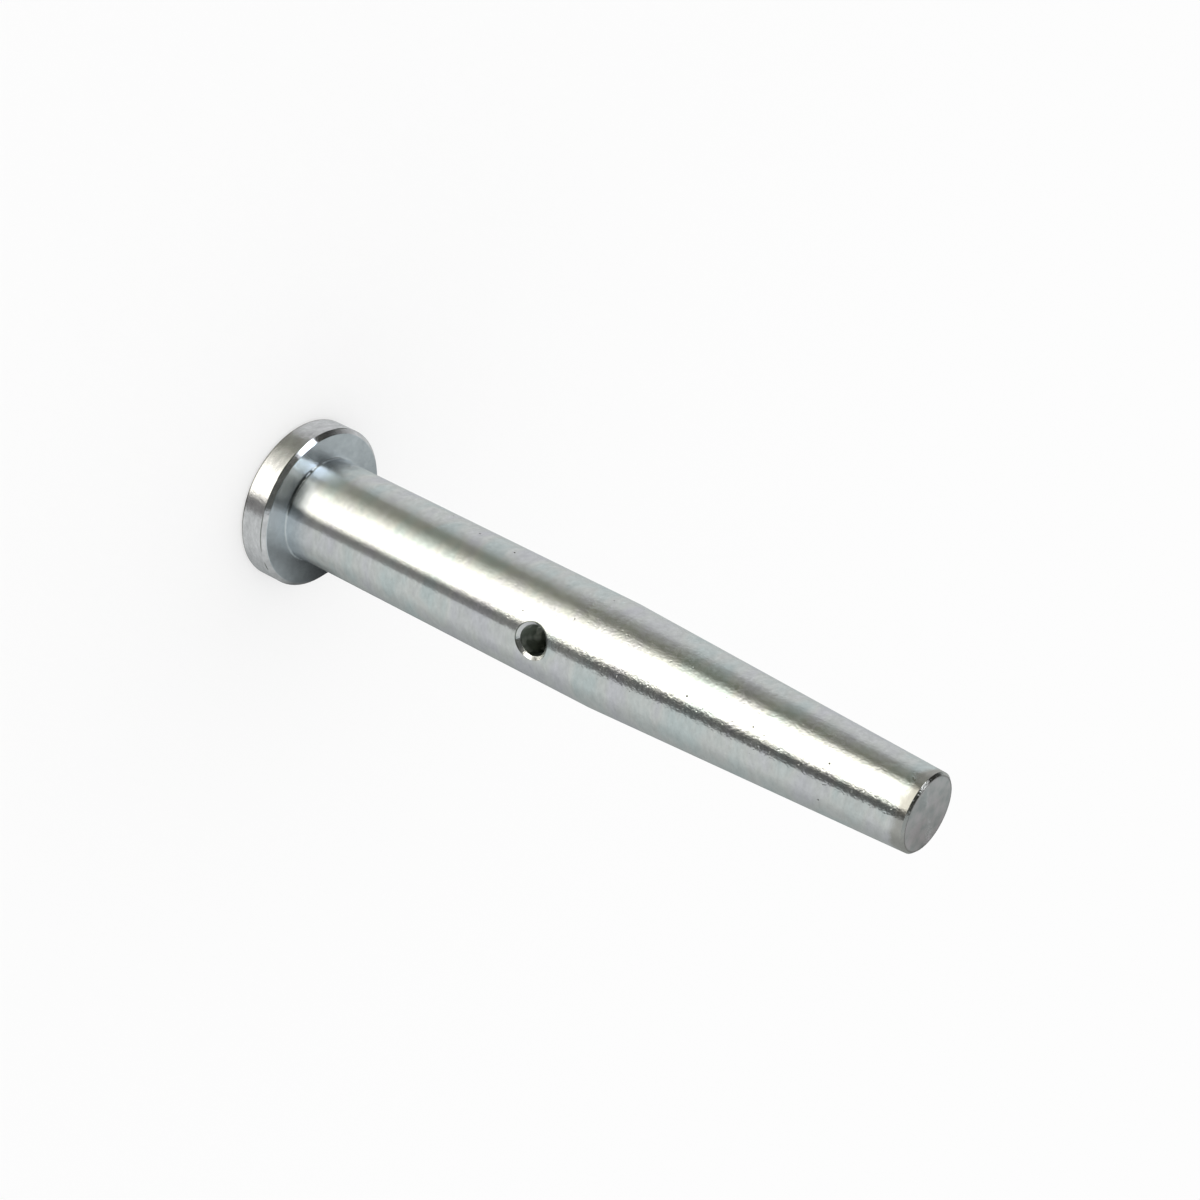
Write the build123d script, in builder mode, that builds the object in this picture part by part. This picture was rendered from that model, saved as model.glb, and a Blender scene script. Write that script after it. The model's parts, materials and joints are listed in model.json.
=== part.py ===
from build123d import *

import os

# Truss pin for the forked ends of lattice truss, turned in one piece from round bar: a flat head, a
# straight shank that carries the load, and a long tapered nose that draws the holes of the fork
# into line as the pin is driven in. A spring clip through the cross hole keeps the pin in place.
#
# The pin stands on the flat face of its head. The origin is the centre of that face, +Z runs along
# the axis to the tip of the nose, and the clip hole runs along Y. Lengths are in millimetres.

# Head
head_diameter = 25.0
head_thickness = 4.65
head_seat_chamfer = 0.65  # on the rim, at the side that seats on the fork
head_face_chamfer = 0.3  # on the rim, at the flat face that the hammer meets

# Shank
shank_diameter = 16.0
root_fillet = 0.3  # in the corner between the shank and the head
grip_length = 46.6  # from the seat under the head to the centre of the clip hole
shank_past_hole = 8.9  # from the centre of the clip hole to the start of the nose

# Clip hole, straight across the axis
clip_hole_diameter = 4.5
clip_hole_chamfer = 0.55  # of even width all round both mouths

# Nose
nose_length = 52.0
nose_diameter = 11.7  # at the tip, before its chamfer
nose_chamfer = 0.35

# Heights above the flat face of the head
seat_height = head_thickness
hole_height = seat_height + grip_length
nose_height = hole_height + shank_past_hole
tip_height = nose_height + nose_length

with BuildPart() as truss_pin:
    # Half of the lengthwise section, spun round the axis. All its corners are still sharp.
    with BuildSketch(Plane.XZ) as half_section:
        with BuildLine() as outline:
            Polyline(
                (0, 0),
                (head_diameter / 2, 0),
                (head_diameter / 2, seat_height),
                (shank_diameter / 2, seat_height),
                (shank_diameter / 2, nose_height),
                (nose_diameter / 2, tip_height),
                (0, tip_height),
                close=True,
            )
        make_face()
    revolve(axis=Axis.Z)

    # Every corner of the section is now a circle. They are grouped from the head's face upwards.
    # The group at the seat holds two: the rim of the head, and the root of the shank inside it.
    circles = truss_pin.edges().filter_by(GeomType.CIRCLE).group_by(Axis.Z)
    root, seat_rim = circles[1].sort_by(SortBy.RADIUS)
    chamfer(circles[0], length=head_face_chamfer)
    chamfer(seat_rim, length=head_seat_chamfer)
    chamfer(circles[-1], length=nose_chamfer)
    fillet(root, radius=root_fillet)

    # The clip hole. Where a round hole leaves a round shank its mouth is saddle-shaped, and the
    # chamfer follows that curve, so the clip's wire finds its way in from either side.
    with Locations(Plane(origin=(0, 0, hole_height), z_dir=(0, 1, 0))):
        Hole(radius=clip_hole_diameter / 2)
    hole_mouths = truss_pin.edges(Select.LAST).filter_by(GeomType.LINE, reverse=True)
    chamfer(hole_mouths, length=clip_hole_chamfer)

truss_pin.part.label = "truss_pin"

os.makedirs("parts", exist_ok=True)
export_step(truss_pin.part, "parts/truss_pin.step")

print(f"truss_pin: {tip_height:.2f} mm long, {truss_pin.part.volume:.0f} mm3")
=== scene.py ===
# %% [markdown]
# # A zinc-plated truss pin
#
# The object is one turned steel part: a flat round head, a shank that fills the hole of a
# fork, a small cross hole for a retaining clip, and a long tapered nose that lets the pin
# find its way in. All of it is hard and simple, so its shape comes ready made from CAD.
# What is left for Blender is the finish, and the room that bright metal mirrors.

import json
import math

import bpy
from mathutils import Matrix, Vector


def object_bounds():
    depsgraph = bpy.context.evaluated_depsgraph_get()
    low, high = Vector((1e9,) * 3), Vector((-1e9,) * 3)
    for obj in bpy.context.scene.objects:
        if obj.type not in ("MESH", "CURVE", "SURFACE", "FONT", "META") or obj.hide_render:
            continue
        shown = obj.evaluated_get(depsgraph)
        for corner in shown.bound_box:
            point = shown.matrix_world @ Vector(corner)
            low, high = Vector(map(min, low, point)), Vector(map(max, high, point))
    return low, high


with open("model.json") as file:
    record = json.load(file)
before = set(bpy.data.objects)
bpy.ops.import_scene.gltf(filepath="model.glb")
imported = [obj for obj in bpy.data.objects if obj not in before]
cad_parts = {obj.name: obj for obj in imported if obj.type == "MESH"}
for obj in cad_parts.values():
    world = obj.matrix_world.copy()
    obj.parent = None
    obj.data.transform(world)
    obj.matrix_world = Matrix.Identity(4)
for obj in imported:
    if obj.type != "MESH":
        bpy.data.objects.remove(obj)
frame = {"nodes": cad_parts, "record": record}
cad_low, cad_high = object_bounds()
pin = frame["nodes"]["truss_pin"]
MM = 0.001
print("pin loaded, height in mm:", round((cad_high.z - cad_low.z) / MM, 2))

# %% [markdown]
# ## Where things are on the pin
#
# The record that is packed with the shape says where the pin mates with other parts: the
# face that rests on the fork, the shank and the clip hole. Those places are read from it,
# so the finish stays in place if a size changes. Marks and stains are thought of in
# millimetres here, because that is how a turner or a plater would name them.

# %% Read the places from the record
mounts = {mount["name"]: mount for mount in frame["record"]["mounts"]}
seat_height = mounts["fork_seat"]["pos_m"][2] / MM
hole_height = mounts["clip_hole"]["pos_m"][2] / MM
hole_radius = mounts["clip_hole"]["dims"]["r_mm"]
shank_radius = mounts["shank"]["dims"]["r_mm"]
nose_start = mounts["shank"]["pos_m"][2] / MM + mounts["shank"]["dims"]["length_mm"] / 2
tip_height = cad_high.z / MM
end_depth = 0.5
end_points = [v.co for v in pin.data.vertices if v.co.z > (tip_height - end_depth) * MM]
end_radius = max(math.hypot(point.x, point.y) for point in end_points) / MM
print("heights in mm: seat", round(seat_height, 2), "and clip hole", round(hole_height, 2))
print("heights in mm: nose", round(nose_start, 2), "and tip", round(tip_height, 2))
print("radii in mm: shank", shank_radius, "and end of the nose", round(end_radius, 2))

# %% [markdown]
# ## The finish: bright zinc over turned steel
#
# A turner makes the pin from round bar, and a plater then tumbles it in a barrel of zinc
# solution until a few micrometres of bright zinc cover it. To the eye that is a pale,
# slightly cool metal. It mirrors the room, but not cleanly: the tool's rings, the grain of
# the plate and the knocks of the barrel all bend the reflections a little. So the shape of
# the surface matters more here than its colour, and most of this material is fine relief.
#
# A material is a graph of nodes, each with a few settings, fed by numbers or by other
# nodes. One small function adds any node, so the rest of the lesson can read as a list of
# what feeds what.


# %% A helper that adds one node, and one that empties a tree
def add(tree, kind, inputs=None, **settings):
    """Adds a node. Each input is a number, a socket, or a node whose first output feeds it."""
    node = tree.nodes.new("ShaderNode" + kind)
    for name, value in settings.items():
        setattr(node, name, value)
    for socket, value in (inputs or {}).items():
        if isinstance(value, bpy.types.Node):
            value = value.outputs[0]
        if isinstance(value, bpy.types.NodeSocket):
            tree.links.new(value, node.inputs[socket])
        else:
            node.inputs[socket].default_value = value
    return node


def new_tree(owner):
    """The empty node tree of a material or world."""
    owner.use_nodes = True
    owner.node_tree.nodes.clear()
    return owner.node_tree


finish = bpy.data.materials.new("bright_zinc_plated_turned_steel")
zinc = new_tree(finish)
print("material started:", finish.name)

# %% [markdown]
# ### Where a point is on the pin
#
# Everything is placed by the pin's own coordinates in millimetres. They come from the
# object and not from an unwrapped picture, so no seam shows anywhere. From them come the
# height, the distance from the pin's axis, the distance from the axis of the cross hole
# (which runs along Y, so Y is left out of it), and how much the surface faces up or down
# the pin: 0 on the round, 1 on a flat face.

# %% Measures on the pin
place = add(zinc, "TexCoord")
in_mm = add(zinc, "VectorMath", {0: place.outputs["Object"], "Scale": 1 / MM}, operation="SCALE")
axes = add(zinc, "SeparateXYZ", {0: in_mm})
height = axes.outputs["Z"]
outward = add(zinc, "CombineXYZ", {"X": axes.outputs["X"], "Y": axes.outputs["Y"]})
radius = add(zinc, "VectorMath", {0: outward}, operation="LENGTH").outputs["Value"]

hole_middle = (0, 0, hole_height)
without_y = (1, 0, 1)
from_hole = add(zinc, "VectorMath", {0: in_mm, 1: hole_middle}, operation="SUBTRACT")
from_hole = add(zinc, "VectorMath", {0: from_hole, 1: without_y}, operation="MULTIPLY")
from_hole = add(zinc, "VectorMath", {0: from_hole}, operation="LENGTH").outputs["Value"]

facing = add(zinc, "SeparateXYZ", {0: place.outputs["Normal"]}).outputs["Z"]
facing = add(zinc, "Math", {0: facing}, operation="ABSOLUTE")
print("measures made with", len(zinc.nodes), "nodes")

# %% [markdown]
# ### Cloudy patterns
#
# Slow waves and shorter ripples are left by the bar and the barrel, and make the edges of
# the reflections wander. Grain is the crystalline bloom of the plate. Clouds and streaks
# are faint changes in the colour of the film, and blotches are the wear on the end face.
#
# One kind of noise suits them all, and each has the size of its lumps in millimetres.
# Stretching the coordinates before they reach the noise makes long marks out of round ones.

# %% Waves, ripples, grain, clouds, streaks and blotches
patterns = {}
for name, size, stretch, detail, roughness in (
    ("waves", 3.2, (1, 1, 1), 1.0, 0.5),
    ("ripples", 1.3, (0.6, 0.6, 1), 1.0, 0.5),
    ("grain", 0.42, (1, 1, 1), 2.0, 0.55),
    ("clouds", 5.0, (0.5, 0.5, 1), 2.5, 0.5),
    ("streaks", 0.9, (0.5, 0.5, 1), 4.0, 0.7),
    ("blotches", 1.8, (1, 1, 1), 3.0, 0.5),
):
    spot = add(zinc, "VectorMath", {0: in_mm, 1: stretch}, operation="MULTIPLY")
    lumps = {"Vector": spot, "Scale": 1 / size, "Detail": detail, "Roughness": roughness}
    patterns[name] = add(zinc, "TexNoise", lumps)
    print(name, "are about", size, "mm long")

# %% [markdown]
# ### Rings of the turning tool
#
# Rings run round the pin where the tool cut it. Real ones are about a tenth of a millimetre
# apart, which is too fine to show, so they are drawn about three times as coarse. They are
# noise again: it runs at full size along the tool's path, which is up the pin on the round
# and outward on a flat face, and is stretched until it hardly changes round the pin.

# %% Rings
ring_spacing = 0.34
change_round_the_pin = 0.03
tool_path = add(zinc, "Math", {0: height, 1: radius}, operation="ADD")
tool_path = add(zinc, "CombineXYZ", {"Z": tool_path})
slow = {0: outward, "Scale": change_round_the_pin}
slow = add(zinc, "VectorMath", slow, operation="SCALE")
cut = add(zinc, "VectorMath", {0: slow, 1: tool_path}, operation="ADD")
cut_rings = {"Vector": cut, "Scale": 1 / ring_spacing, "Detail": 1.0}
patterns["rings"] = add(zinc, "TexNoise", cut_rings)
print("rings drawn", ring_spacing, "mm apart")

# %% [markdown]
# ### Deeper grain on the nose
#
# The nose takes the knocks, so its grain is deeper than that of the shank. One number grows
# up the pin, from a third on the shank to a little over one on the nose, and the grain is
# multiplied by it.

# %% Grain that grows towards the nose
starts_to_grow = hole_height - 25
full_grain = nose_start + 12
share_on_shank, share_on_nose = 0.33, 1.1
growth = {
    "Value": height,
    "From Min": starts_to_grow,
    "From Max": full_grain,
    "To Min": share_on_shank,
    "To Max": share_on_nose,
}
wear = add(zinc, "MapRange", growth, interpolation_type="SMOOTHSTEP")
grain_here = {0: patterns["grain"], 1: wear}
patterns["grain_here"] = add(zinc, "Math", grain_here, operation="MULTIPLY")
print("grain grows between", round(starts_to_grow, 1), "and", round(full_grain, 1), "mm")

# %% [markdown]
# ### Knocks
#
# Loose parts hit each other in the plating barrel. The few deep knocks are pits a few
# tenths of a millimetre wide, and the nose is covered in shallow pocks. A cell pattern
# gives one possible dent to each cell, and a random number for the cell decides whether
# the dent is there. The radii of a dent are shares of the width of its cell.

# %% Pits and pocks
for name, spacing, inner, outer, empty_share in (
    ("pits", 2.6, 0.02, 0.075, 0.72),
    ("pocks", 0.75, 0.05, 0.25, 0.5),
):
    cells = add(zinc, "TexVoronoi", {"Vector": in_mm, "Scale": 1 / spacing})
    bowl = {"Value": cells.outputs["Distance"], "From Min": outer, "From Max": inner}
    bowl = add(zinc, "MapRange", bowl, interpolation_type="SMOOTHSTEP")
    lot = add(zinc, "SeparateXYZ", {0: cells.outputs["Color"]}).outputs["X"]
    drawn = add(zinc, "Math", {0: lot, 1: empty_share}, operation="GREATER_THAN")
    patterns[name] = add(zinc, "Math", {0: bowl, 1: drawn}, operation="MULTIPLY")
    print(name, "have one possible place in each", spacing, "mm")
pocks_here = {0: patterns["pocks"], 1: wear}
patterns["pocks_here"] = add(zinc, "Math", pocks_here, operation="MULTIPLY")

# %% [markdown]
# ### Ragged edges and thin lines
#
# The last of the nose is rubbed in use, and its worn patch ends in a ragged edge. Height
# plus a few waves gives such an edge. The drill leaves a fine burr round the mouth of the
# hole, and the tool leaves one where the chamfer of the head meets the rim. For a line, the
# measure is the distance from the place where the line runs.

# %% Measures for the worn end and the burrs
mouth_chamfer = 0.54
head_chamfer = 0.65
raggedness = 3.0
lip_radius = hole_radius + mouth_chamfer
chamfer_foot = seat_height - head_chamfer
ragged = {0: patterns["waves"], 1: raggedness, 2: height}
ragged = add(zinc, "Math", ragged, operation="MULTIPLY_ADD")
from_lip = add(zinc, "Math", {0: from_hole, 1: lip_radius}, operation="SUBTRACT")
from_lip = add(zinc, "Math", {0: from_lip}, operation="ABSOLUTE")
from_foot = add(zinc, "Math", {0: height, 1: chamfer_foot}, operation="SUBTRACT")
from_foot = add(zinc, "Math", {0: from_foot}, operation="ABSOLUTE")
print("burrs at", lip_radius, "mm from the hole's axis and", round(chamfer_foot, 2), "mm up")

# %% [markdown]
# ### The side with painted shade
#
# The corner under the head is painted darker on one side of the pin, as painted shade.
# The cosine of the angle from that side is 1 there and falls off round the pin, so it
# serves as the measure.

# %% Measure for the side with painted shade
# The corner under the head is painted darker on this side of the pin, as painted shade.
shade_bearing = math.radians(-122.5)
shade_starts, shade_is_full = (math.cos(math.radians(angle)) for angle in (31, 18))
shaded_side = (math.cos(shade_bearing), math.sin(shade_bearing), 0)
bearing = add(zinc, "VectorMath", {0: outward}, operation="NORMALIZE")
bearing = add(zinc, "VectorMath", {0: bearing, 1: shaded_side}, operation="DOT_PRODUCT")
on_shaded_side = bearing.outputs["Value"]
print("dirt faces", [round(part, 2) for part in shaded_side])

# %% [markdown]
# ### Masks
#
# A mask is 1 where a finish or a painted shade applies and 0 where it doesn't. Each is one
# measure, compared with the value where it starts and the value where it is full. The
# smooth step between the two keeps the border soft. All values are in millimetres, apart
# from those of facing, of the waves and of the side with painted shade.

# %% Masks from one measure each
masks = {}
for name, measure, none, full in (
    ("flat_face", facing, 0.9, 0.98),
    ("sloping", facing, 0.39, 0.41),
    ("in_hole", from_hole, hole_radius + 0.06, hole_radius + 0.02),
    ("by_mouth", from_hole, lip_radius + 0.04, lip_radius),
    ("above_rim", height, seat_height - 0.1, seat_height - 0.02),
    ("by_seat", height, seat_height + 5, seat_height + 0.5),
    ("worn_end", ragged, tip_height - 0.8, tip_height + 0.4),
    ("at_end", height, tip_height - 0.15, tip_height - 0.05),
    ("near_end", height, tip_height - 0.55, tip_height - 0.45),
    ("outer", radius, end_radius - 0.7, end_radius - 0.3),
    # The lowest edge of the head, painted darker as painted shade where it meets the floor.
    ("shaded_head_edge", height, 0.5, 0.3),
    ("lip_line", from_lip, 0.11, 0.03),
    ("foot_line", from_foot, 0.11, 0.03),
    ("unbroken", patterns["waves"], 0.38, 0.55),
    ("low", height, seat_height + 0.6, seat_height + 0.25),
    ("close", radius, shank_radius + 0.5, shank_radius + 0.25),
    # The side of the pin whose corner under the head gets the painted shade.
    ("painted_shade_side", on_shaded_side, shade_starts, shade_is_full),
):
    step = {"Value": measure, "From Min": none, "From Max": full}
    masks[name] = add(zinc, "MapRange", step, interpolation_type="SMOOTHSTEP")
print("masks:", ", ".join(masks))

# %% [markdown]
# ### Masks from two others
#
# Two masks multiplied leave what lies in both, and one taken from the other leaves what
# lies outside it. So a chamfer is what slopes and isn't flat, the mouth of the hole is what
# lies near it and isn't inside, and the end face is what is at the end and is flat.

# %% Masks from two masks each
for name, first, operation, second in (
    ("chamfers", "sloping", "SUBTRACT", "flat_face"),
    ("mouth", "by_mouth", "SUBTRACT", "in_hole"),
    ("corner", "by_seat", "MULTIPLY", "above_rim"),
    ("end_face", "at_end", "MULTIPLY", "flat_face"),
    # The outer ring of the end face, which is painted darker as painted shade.
    ("shaded_end_edge", "outer", "MULTIPLY", "end_face"),
    ("end_chamfer", "near_end", "MULTIPLY", "chamfers"),
    ("lines", "lip_line", "ADD", "foot_line"),
    ("burr", "lines", "MULTIPLY", "unbroken"),
    ("low_and_close", "low", "MULTIPLY", "close"),
    # The next two masks place the painted shade in the corner under the head.
    ("painted_shade_foot", "low_and_close", "MULTIPLY", "painted_shade_side"),
    ("painted_corner_shade", "painted_shade_foot", "MULTIPLY", "above_rim"),
):
    pair = {0: masks[first], 1: masks[second]}
    masks[name] = add(zinc, "Math", pair, operation=operation, use_clamp=True)
masks["rim"] = add(zinc, "Math", {0: 1.0, 1: masks["above_rim"]}, operation="SUBTRACT")
knocked = {0: masks["end_chamfer"], 1: patterns["grain"]}
patterns["knocked"] = add(zinc, "Math", knocked, operation="MULTIPLY")
print("masks made in all:", len(masks))

# %% [markdown]
# ### Colour of the film
#
# The clear film over zinc is thin enough to tint the light: faintly lilac in one place,
# faintly green in the next. The tints are close together, so that they are felt more than
# seen. A colour picker shows colours the way a screen stores them, and a renderer adds
# light in linear values, so one function turns the first into the second.


# %% Tints of the film
def linear(code):
    """The colour written as sRGB hex, as the linear colour with alpha that a socket wants."""
    channels = [int(code[i : i + 2], 16) / 255 for i in (1, 3, 5)]
    bent = [c / 12.92 if c <= 0.04045 else ((c + 0.055) / 1.055) ** 2.4 for c in channels]
    return (*bent, 1.0)


tints = add(zinc, "ValToRGB", {"Fac": patterns["clouds"]})
film = tints.color_ramp
film.elements[0].position, film.elements[0].color = 0.36, linear("#F0EDF1")
film.elements[1].position, film.elements[1].color = 0.64, linear("#E9F0EF")
film.elements.new(0.5).color = linear("#F4F3F0")
print("film has", len(film.elements), "tints")

# %% [markdown]
# ### Coats over the film
#
# The rim is a shade warmer than the shank. The corner where shank and head meet keeps a
# thicker, bluer film. The worn end turns warm and dull, and dirt fills the pits. The wall
# of the drilled hole is painted dark as painted shade, with lighter patches. Each coat, and
# the painted shade, is mixed over what lies below by its own mask.

# %% Coats
# Painted shade for the wall of the hole: dark grey with lighter patches.
hole_wall_shade = add(zinc, "ValToRGB", {"Fac": patterns["ripples"]})
patches = hole_wall_shade.color_ramp
patches.elements[0].position, patches.elements[0].color = 0.47, linear("#8F958C")
patches.elements[1].position, patches.elements[1].color = 0.66, linear("#E6E9E4")
colour = tints
for mask, over in (
    ("rim", linear("#F2EFF0")),
    ("corner", linear("#E8EDF1")),
    ("worn_end", linear("#CFCBC5")),
    # The wall of the hole is painted dark as painted shade, with lighter patches.
    ("in_hole", hole_wall_shade.outputs["Color"]),
):
    coat = {0: masks[mask], 6: colour, 7: over}
    colour = add(zinc, "Mix", coat, data_type="RGBA").outputs[2]
filled_pits = {0: patterns["pits"], 6: colour, 7: linear("#77736C")}
colour = add(zinc, "Mix", filled_pits, data_type="RGBA").outputs[2]
print("colour mixed by", len([n for n in zinc.nodes if n.type == "MIX"]), "nodes so far")

# %% [markdown]
# ### Streaks
#
# The cut leaves streaks that make the metal a little lighter or darker. They show most on
# the rim of the head. Raising the shade to a power widens its range there. A noise texture
# gives numbers round a half and rarely leaves the middle part of its range, so that part is
# what gets spread over the shades.

# %% Streaks
noise_low, noise_high = 0.3, 0.7
darkest, lightest = 0.9, 1.08
rim_power = 1.8
shade = {
    "Value": patterns["streaks"],
    "From Min": noise_low,
    "From Max": noise_high,
    "To Min": darkest,
    "To Max": lightest,
}
shade = add(zinc, "MapRange", shade)
power = add(zinc, "MapRange", {"Value": masks["rim"], "To Min": 1.0, "To Max": rim_power})
shade = add(zinc, "Math", {0: shade, 1: power}, operation="POWER")
colour = add(zinc, "VectorMath", {0: colour, "Scale": shade}, operation="SCALE")
print("streaks shade the metal from", darkest, "to", lightest)

# %% [markdown]
# ### The end face, burrs and painted shade
#
# A hammer drives the pin back out by the end of its nose. The plate there has gone dull,
# with darker and lighter blotches, and its edge is painted darker as painted shade. Burrs
# hold dirt. The corner under the head, on one side of the pin, and the lowest edge of the
# head, which stands on the floor, are painted darker as painted shade.

# %% End face, stains and painted shade
worn_plate = add(zinc, "ValToRGB", {"Fac": patterns["blotches"]})
greys = worn_plate.color_ramp
greys.elements[0].position, greys.elements[0].color = 0.36, linear("#C8C4C4")
greys.elements[1].position, greys.elements[1].color = 0.64, linear("#AFB3B1")
greys.elements.new(0.5).color = linear("#BEBEBC")
for mask, over in (
    ("end_face", worn_plate.outputs["Color"]),
    # The edge of the end face is painted darker, as painted shade.
    ("shaded_end_edge", linear("#77736E")),
    # The lowest edge of the head is painted darker, as painted shade.
    ("shaded_head_edge", linear("#9A9892")),
    ("burr", linear("#94968F")),
    # A painted dark line in the corner under the head, as painted shade.
    ("painted_corner_shade", linear("#85888A")),
):
    stain_and_shade = {0: masks[mask], 6: colour, 7: over}
    colour = add(zinc, "Mix", stain_and_shade, data_type="RGBA").outputs[2]
print("end face has", len(greys.elements), "greys")

# %% [markdown]
# ### Dullness
#
# Polished metal has a roughness near 0.1 and blasted metal one near 0.5. Bright plate over
# a fine turned cut lies between, and its grain makes it a little duller in spots. Chamfers
# are cut with one clean stroke and are the brightest part. Flat faces, which the tool
# crossed, and the worn end are a little duller, and the pits and the wall of the hole are
# dullest.

# %% Roughness for each kind of place
least_dull, most_dull = 0.21, 0.26
grain_dulls = {
    "Value": patterns["grain"],
    "From Min": noise_low,
    "From Max": noise_high,
    "To Min": least_dull,
    "To Max": most_dull,
}
dullness = add(zinc, "MapRange", grain_dulls)
dull_places = (
    (masks["flat_face"], 0.26),
    (masks["worn_end"], 0.3),
    (masks["chamfers"], 0.15),
    (masks["mouth"], 0.18),
    (patterns["pits"], 0.5),
    (masks["in_hole"], 0.5),
)
for mask, dull in dull_places:
    dullness = add(zinc, "Mix", {0: mask, 2: dullness, 3: dull}, data_type="FLOAT")
print("roughness differs in", len(dull_places), "kinds of place")

# %% [markdown]
# ### Relief
#
# Each pattern becomes a bump with its own height in millimetres, and each bump bends the
# normal that the one before it gave. Heights are small: a wave is under two hundredths of a
# millimetre, but a mirror shows it. A height below 0 goes into the metal.

# %% Bumps
relief = None
for name, rise in (
    ("waves", 0.018),
    ("ripples", 0.009),
    ("rings", 0.0012),
    ("grain_here", 0.026),
    ("pocks_here", -0.014),
    ("knocked", 0.024),
    ("pits", -0.03),
):
    bump = {"Height": patterns[name], "Strength": 1.0, "Distance": rise * MM}
    if relief:
        bump["Normal"] = relief
    relief = add(zinc, "Bump", bump)
    print(name, "are", abs(rise), "mm", "high" if rise > 0 else "deep")

# %% [markdown]
# ### The shader
#
# Most of the tool's rings are too fine for any bump, so the shader carries what they do to
# light: it is spread along the pin and hardly round it. That is what the anisotropic
# setting is for. A radial tangent runs round the pin, and a quarter turn of it makes the
# spread run along the pin. This is why a turned shaft shows long soft streaks.
#
# The dull plate on the end face scatters light more than it mirrors it, so it is only
# partly metallic. The index of refraction stays at its default, as metals don't use it.

# %% Shader
round_the_axis = add(zinc, "Tangent", direction_type="RADIAL", axis="Z")
metallic_at_end = 0.6
metallic = {"Value": masks["end_face"], "To Min": 1.0, "To Max": metallic_at_end}
metallic = add(zinc, "MapRange", metallic)
metal = {
    "Base Color": colour,
    "Metallic": metallic,
    "Roughness": dullness,
    "Anisotropic": 1.0,
    "Anisotropic Rotation": 0.25,
    "Tangent": round_the_axis,
    "Normal": relief,
}
metal = add(zinc, "BsdfPrincipled", metal)
add(zinc, "OutputMaterial", {"Surface": metal})
for slot in pin.material_slots:
    slot.material = finish
print("finish on", len(pin.material_slots), "slot, with", len(zinc.nodes), "nodes")

# %% [markdown]
# ## Floor
#
# The pin stands on its head on a plain white floor. A matt white floor alone would take a
# rather heavy shadow, so half of its light is its own: the shadow is then half as deep, and
# the paper stays white. The floor is kept out of the metal's reflections, because the
# studio further down gives the metal what it mirrors.

# %% Floor
floor_width = 60.0
bpy.ops.mesh.primitive_plane_add(size=floor_width)
floor = bpy.context.object
floor.name = "floor"
paper = bpy.data.materials.new("matt_white_paper")
paper_tree = new_tree(paper)
paper_white = linear("#FDFDFD")
own_share = 0.5
matt = add(paper_tree, "BsdfDiffuse", {"Color": paper_white})
own_light = add(paper_tree, "Emission", {"Color": paper_white})
half_lit = add(paper_tree, "MixShader", {0: own_share, 1: matt, 2: own_light})
add(paper_tree, "OutputMaterial", {"Surface": half_lit})
floor.data.materials.append(paper)
floor.visible_glossy = False
print("floor is", round(floor.dimensions.x), "m wide")

# %% [markdown]
# ## Sky
#
# An even white sky is the softest studio light there is: it comes from everywhere, so
# shadows are faint and have no edge. At a strength of 1 a colour renders as it is written.

# %% Sky
sky = bpy.data.worlds.new("even_white_sky")
bpy.context.scene.world = sky
sky_tree = new_tree(sky)
glow = add(sky_tree, "Background", {"Color": linear("#FFFFFF"), "Strength": 1.0})
add(sky_tree, "OutputWorld", {"Surface": glow})
print("sky strength:", glow.inputs["Strength"].default_value)

# %% [markdown]
# ## Camera
#
# The camera looks down at the pin from one side and is rolled far over, so the standing
# pin lies across the picture. Three angles describe it: where it looks along the ground,
# how far it dips, and how far it is rolled. The long lens keeps the pin's sides straight.

# %% Camera
view_azimuth, view_dip, view_roll = (math.radians(a) for a in (24.45, 29.90, 116.28))
camera_distance = 0.4045
aim_aside, aim_height = 6.05, 54.0
sin_turn, cos_turn = math.sin(view_azimuth), math.cos(view_azimuth)
level = math.cos(view_dip)
forward = Vector((sin_turn * level, cos_turn * level, -math.sin(view_dip)))
aim = Vector((-cos_turn * aim_aside, sin_turn * aim_aside, aim_height)) * MM
lens = bpy.data.cameras.new("camera")
lens.lens = 86.9
lens.sensor_width = 36.0
lens.clip_start = 0.01
camera = bpy.data.objects.new("camera", lens)
bpy.context.scene.collection.objects.link(camera)
turn = forward.to_track_quat("-Z", "Y").to_matrix() @ Matrix.Rotation(view_roll, 3, "Z")
camera.matrix_world = Matrix.Translation(aim - forward * camera_distance) @ turn.to_4x4()
bpy.context.scene.camera = camera
bpy.context.scene.view_settings.view_transform = "Standard"
print("camera is", round(camera.matrix_world.translation.length * 1000), "mm from the head")

# %% [markdown]
# ## A studio for the metal only
#
# Bright metal has hardly a look of its own: it shows its surroundings. On a product table
# that is a bright softbox above, a dark room behind the camera, and pale paper behind the
# table. Here the same things stand round the pin as glowing sheets that only mirror rays
# can see. They light nothing, so the floor and its shadow stay as they are.
#
# In the studio the pin lies on its table, as the rolled camera shows it. So the sheets are
# laid out along the view: straight ahead is away from the camera, and up is off the table.

# %% Studio axes
camera_dip = math.radians(32.2)
studio_turn = turn @ Matrix.Rotation(camera_dip - math.pi / 2, 3, "X")
middle = Vector((0, 0, tip_height / 2 * MM))


def in_studio(azimuth, elevation):
    """The direction at an azimuth right of straight ahead and an elevation off the table."""
    a, e = math.radians(azimuth), math.radians(elevation)
    ahead = Vector((math.sin(a) * math.cos(e), math.cos(a) * math.cos(e), math.sin(e)))
    return studio_turn @ ahead


def only_mirrored(thing, material):
    """Gives a thing its glow, and leaves it visible in the metal and nowhere else."""
    thing.data.materials.append(material)
    thing.visible_camera = False
    thing.visible_diffuse = False
    thing.visible_transmission = False
    thing.visible_shadow = False
    thing.visible_volume_scatter = False
    material.cycles.emission_sampling = "NONE"


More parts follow.
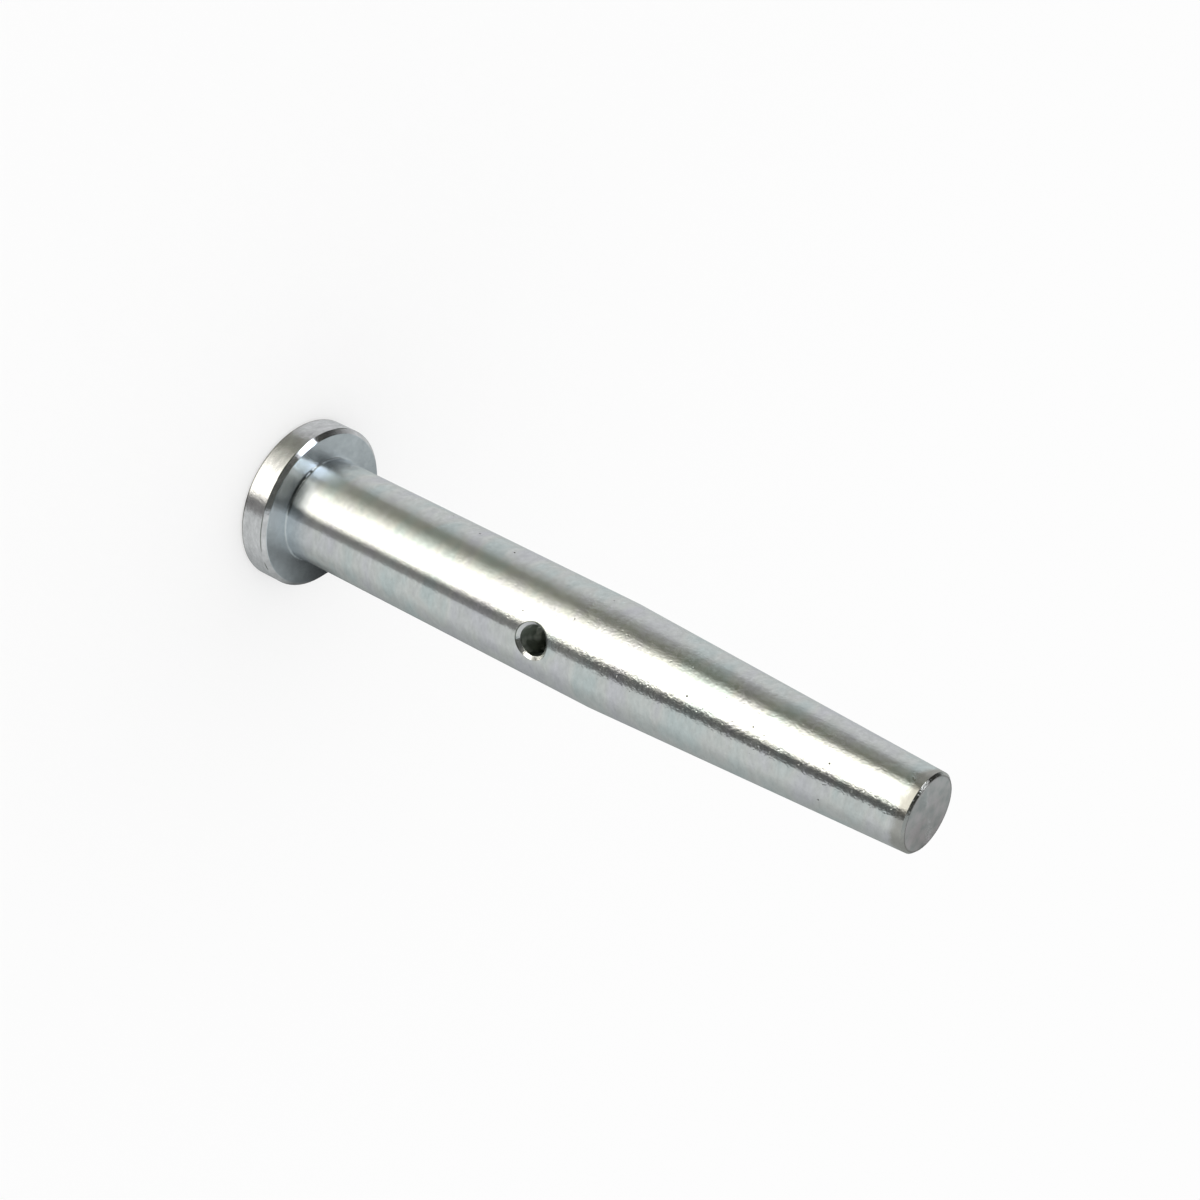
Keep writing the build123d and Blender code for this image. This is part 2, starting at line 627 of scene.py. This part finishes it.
print("straight up in the studio is", [round(x, 2) for x in in_studio(0, 90)])

# %% [markdown]
# ### The room
#
# A large ball stands for the walls and the ceiling. It is dark low down, greyer halfway up
# where the ceiling catches the softbox, and a little darker again straight overhead. The
# ceiling is lighter on the left, where the softbox hangs.

# %% Room
room_radius = 3.0
bpy.ops.mesh.primitive_uv_sphere_add(segments=64, ring_count=32, radius=room_radius)
room = bpy.context.object
room.name = "dark_room"
room.matrix_world = Matrix.Translation(middle) @ studio_turn.to_4x4()
walls = bpy.data.materials.new("grey_painted_walls")
room_tree = new_tree(walls)
to_wall = add(room_tree, "TexCoord").outputs["Object"]
to_wall = add(room_tree, "VectorMath", {0: to_wall}, operation="NORMALIZE")
to_wall = add(room_tree, "SeparateXYZ", {0: to_wall})
tone = linear("#373837")
for from_angle, to_angle, far, near, away, lit in (
    (30, 55, 0.05, -0.2, "#6C6E67", "#ABADA3"),
    (52, 61, -0.15, -0.35, "#616356", "#8B8E82"),
):
    left = {"Value": to_wall.outputs["X"], "From Min": far, "From Max": near}
    left = add(room_tree, "MapRange", left, interpolation_type="SMOOTHSTEP")
    ceiling = {0: left, 6: linear(away), 7: linear(lit)}
    ceiling = add(room_tree, "Mix", ceiling, data_type="RGBA").outputs[2]
    bottom, top = (math.sin(math.radians(angle)) for angle in (from_angle, to_angle))
    up = {"Value": to_wall.outputs["Z"], "From Min": bottom, "From Max": top}
    up = add(room_tree, "MapRange", up, interpolation_type="SMOOTHSTEP")
    tone = {0: up, 6: tone, 7: ceiling}
    tone = add(room_tree, "Mix", tone, data_type="RGBA").outputs[2]
room_light = add(room_tree, "Emission", {"Color": tone, "Strength": 1.0})
add(room_tree, "OutputMaterial", {"Surface": room_light})
only_mirrored(room, walls)
print("room is", round(room.dimensions.x, 1), "m across")

# %% [markdown]
# ### The table
#
# The lower half of the pin mirrors the table that it lies on. The table is a plane just
# below the pin, turned so that its own Y runs along the pin and its X across it.

# %% Table
table_drop = 12.6
table_width = 0.5
table_up = studio_turn.col[2]
along = (Vector((0, 0, 1)) - table_up * table_up.z).normalized()
beside = along.cross(table_up)
table_turn = Matrix((beside, along, table_up)).transposed()
bpy.ops.mesh.primitive_plane_add(size=table_width)
table = bpy.context.object
table.name = "table"
table.matrix_world = Matrix.Translation(-table_up * table_drop * MM) @ table_turn.to_4x4()
table_top = bpy.data.materials.new("pale_grey_table_top")
top_tree = new_tree(table_top)
on_table = add(top_tree, "TexCoord").outputs["Object"]
on_table = add(top_tree, "VectorMath", {0: on_table, "Scale": 1 / MM}, operation="SCALE")
on_table = add(top_tree, "SeparateXYZ", {0: on_table})
across, lengthways = on_table.outputs["X"], on_table.outputs["Y"]
print("table lies", table_drop, "mm under the axis of the pin")

# %% [markdown]
# ### Shadow along the pin
#
# The table is dark in the pin's own shadow and pale beside it, so its tone is a row of
# greys that run across the pin and reach 60 mm to either side. The shadow is narrower under
# the thin nose and wider beside the head, so the place across the pin is scaled before it
# picks a grey.

# %% Place across the pin
reach = 60
reach_at_tip = 44
scale_at_head = 0.82
full_scale_from = 20
narrowing = {
    "Value": lengthways,
    "From Min": nose_start,
    "From Max": tip_height,
    "To Min": 1 / reach,
    "To Max": 1 / reach_at_tip,
}
narrowing = add(top_tree, "MapRange", narrowing)
widening = {
    "Value": lengthways,
    "From Min": seat_height,
    "From Max": full_scale_from,
    "To Min": scale_at_head,
}
widening = add(top_tree, "MapRange", widening, interpolation_type="SMOOTHSTEP")
scaled = add(top_tree, "Math", {0: across, 1: narrowing}, operation="MULTIPLY")
scaled = add(top_tree, "Math", {0: scaled, 1: widening}, operation="MULTIPLY")
scaled = add(top_tree, "MapRange", {"Value": scaled, "From Min": -1.0})
print("greys reach", reach, "mm from the pin, and", reach_at_tip, "mm at its tip")

# %% [markdown]
# ### The greys themselves
#
# Each grey has its place in millimetres across the pin. The dark ones lie under the pin and
# a little behind it. A colour ramp counts from 0 to 1, so each place is turned into a share
# of the row.

# %% Greys of the table
table_greys = (
    (-60, "#C3C8C8"),
    (-42, "#BBC0C0"),
    (-22, "#AAAFAF"),
    (-9, "#494B4B"),
    (-1, "#3A3C3C"),
    (3.7, "#9CA1A1"),
    (10, "#A8ADAD"),
    (17, "#C3C8C8"),
    (60, "#C3C8C8"),
)
shades = add(top_tree, "ValToRGB", {"Fac": scaled})
ramp = shades.color_ramp
while len(ramp.elements) < len(table_greys):
    ramp.elements.new(0.5)
for stop, (millimetres, code) in zip(ramp.elements, table_greys):
    stop.position = (millimetres / reach + 1) / 2
    stop.color = linear(code)
print("table has", len(ramp.elements), "greys across the pin")

# %% [markdown]
# ### Past the tip and beside the head
#
# Past the tip there is no shadow left. Beside the head the pin touches the table, and the
# shadow is deepest. It is a small patch, made from one step along the pin and two across,
# where each step goes from no shadow to full shadow.

# %% Table past the tip and beside the head
shadow_ends = tip_height + 10
past_the_tip = {"Value": lengthways, "From Min": tip_height, "From Max": shadow_ends}
past_the_tip = add(top_tree, "MapRange", past_the_tip, interpolation_type="SMOOTHSTEP")
open_table = {0: past_the_tip, 6: shades.outputs["Color"], 7: linear("#ABB3B6")}
open_table = add(top_tree, "Mix", open_table, data_type="RGBA").outputs[2]
left_in_shadow = 0.45
head_shadow = 1.0
for measure, none, full in ((lengthways, 9.5, 5), (across, -3, 1), (across, 9, 5)):
    step = {"Value": measure, "From Min": none, "From Max": full}
    step = add(top_tree, "MapRange", step, interpolation_type="SMOOTHSTEP")
    head_shadow = add(top_tree, "Math", {0: head_shadow, 1: step}, operation="MULTIPLY")
strength = {"Value": head_shadow, "To Min": 1.0, "To Max": left_in_shadow}
strength = add(top_tree, "MapRange", strength)
table_light = add(top_tree, "Emission", {"Color": open_table, "Strength": strength})
add(top_tree, "OutputMaterial", {"Surface": table_light})
only_mirrored(table, table_top)
print("table is seen by mirror rays only:", not table.visible_camera)

# %% [markdown]
# ### Sheets of light and dark
#
# A softbox, a second lamp, a pale wall, the dark side of the room and the paper behind the
# table are all the same kind of thing: a sheet between four directions. It is a grid of
# small faces, and each point keeps two coordinates that say how far across and along the
# sheet it lies.


# %% One function for the mesh of a sheet
def spanned(name, corners, distance):
    """The mesh between four directions: far left, near left, near right, far right."""
    places = [middle + in_studio(*corner) * distance for corner in corners]
    steps = 12
    points, shares = [], []
    for j in range(steps + 1):
        for i in range(steps + 1):
            s, t = i / steps, j / steps
            far = places[0].lerp(places[3], s)
            near = places[1].lerp(places[2], s)
            points.append(far.lerp(near, t))
            shares.append((s, t))
    row = steps + 1
    faces = [
        (j * row + i, j * row + i + 1, (j + 1) * row + i + 1, (j + 1) * row + i)
        for j in range(steps)
        for i in range(steps)
    ]
    mesh = bpy.data.meshes.new(name)
    mesh.from_pydata(points, [], faces)
    layer = mesh.uv_layers.new(name="across_and_along")
    for loop in mesh.loops:
        layer.data[loop.index].uv = shares[loop.vertex_index]
    return mesh


print("sheets are laid out round", [round(x, 3) for x in middle])

# %% [markdown]
# ### Soft edges
#
# Each sheet has one colour and soft edges. The edges matter most, because they are the soft
# borders of the bright and dark bands on the pin. The sheet turns clear towards each edge,
# and what stands behind it shows through there.


# %% One function for a sheet
def sheet(name, corners, distance, code, strength, fade):
    """A glowing sheet. Fade is the soft share at its left, right, far and near edge."""
    thing = bpy.data.objects.new(name, spanned(name, corners, distance))
    bpy.context.scene.collection.objects.link(thing)
    material = bpy.data.materials.new(name)
    tree = new_tree(material)
    spot = add(tree, "SeparateXYZ", {0: add(tree, "TexCoord").outputs["UV"]})
    solid = 1.0
    edges = (("X", 0, fade[0]), ("X", 1, -fade[1]), ("Y", 0, fade[2]), ("Y", 1, -fade[3]))
    for axis, edge, soft in edges:
        inside = {"Value": spot.outputs[axis], "From Min": edge, "From Max": edge + soft}
        inside = add(tree, "MapRange", inside, interpolation_type="SMOOTHSTEP")
        solid = add(tree, "Math", {0: solid, 1: inside}, operation="MULTIPLY")
    clear = add(tree, "BsdfTransparent")
    lit = add(tree, "Emission", {"Color": linear(code), "Strength": strength})
    blend = add(tree, "MixShader", {0: solid, 1: clear, 2: lit})
    add(tree, "OutputMaterial", {"Surface": blend})
    only_mirrored(thing, material)
    print(name, "stands", distance, "m away")


# %% [markdown]
# ### Softbox and second lamp
#
# The softbox is one long warm-white sheet over the pin, from the left of the table to the
# far right behind the camera. It is more than twice as bright as white, so its image on the
# metal stays pure white well into its soft edges. The second lamp is small and cooler, and
# gives the bright glint on the chamfer of the head.

# %% Softbox and second lamp
sheet(
    "softbox",
    ((-78, -2.1), (-138, 20.8), (165, 35), (93, 79)),
    distance=1.2,
    code="#FFFFF5",
    strength=2.2,
    fade=(0.3, 0.05, 0.14, 0.12),
)
sheet(
    "second_lamp",
    ((84, 54), (88, 27), (126, 25), (121, 44)),
    distance=1.3,
    code="#F0F8FF",
    strength=3.74,
    fade=(0.12, 0.25, 0.2, 0.12),
)

# %% [markdown]
# ### Wall, dark side and paper
#
# The dark and grey sheets shape the rest: the wall gives the grey line under the bright
# band, the dark side behind the camera the dark part of the rim, and the paper the cool
# grey upper side.

# %% Wall, dark side and paper
sheet(
    "wall_beside_softbox",
    ((-82, -8), (-117, -8), (-117, 24), (-80, 24)),
    distance=1.4,
    code="#919291",
    strength=1.0,
    fade=(0.2, 0.25, 0.25, 0.3),
)
sheet(
    "dark_side_behind_camera",
    ((-142, 60), (-142, -2), (140, -2), (140, 60)),
    distance=0.9,
    code="#525552",
    strength=1.0,
    fade=(0.1, 0.1, 0.1, 0.1),
)
sheet(
    "paper_behind_table",
    ((-25, 55), (-25, -8), (62, -8), (62, 45)),
    distance=1.0,
    code="#F9FEFF",
    strength=0.621,
    fade=(0.13, 0.4, 0.4, 0.02),
)
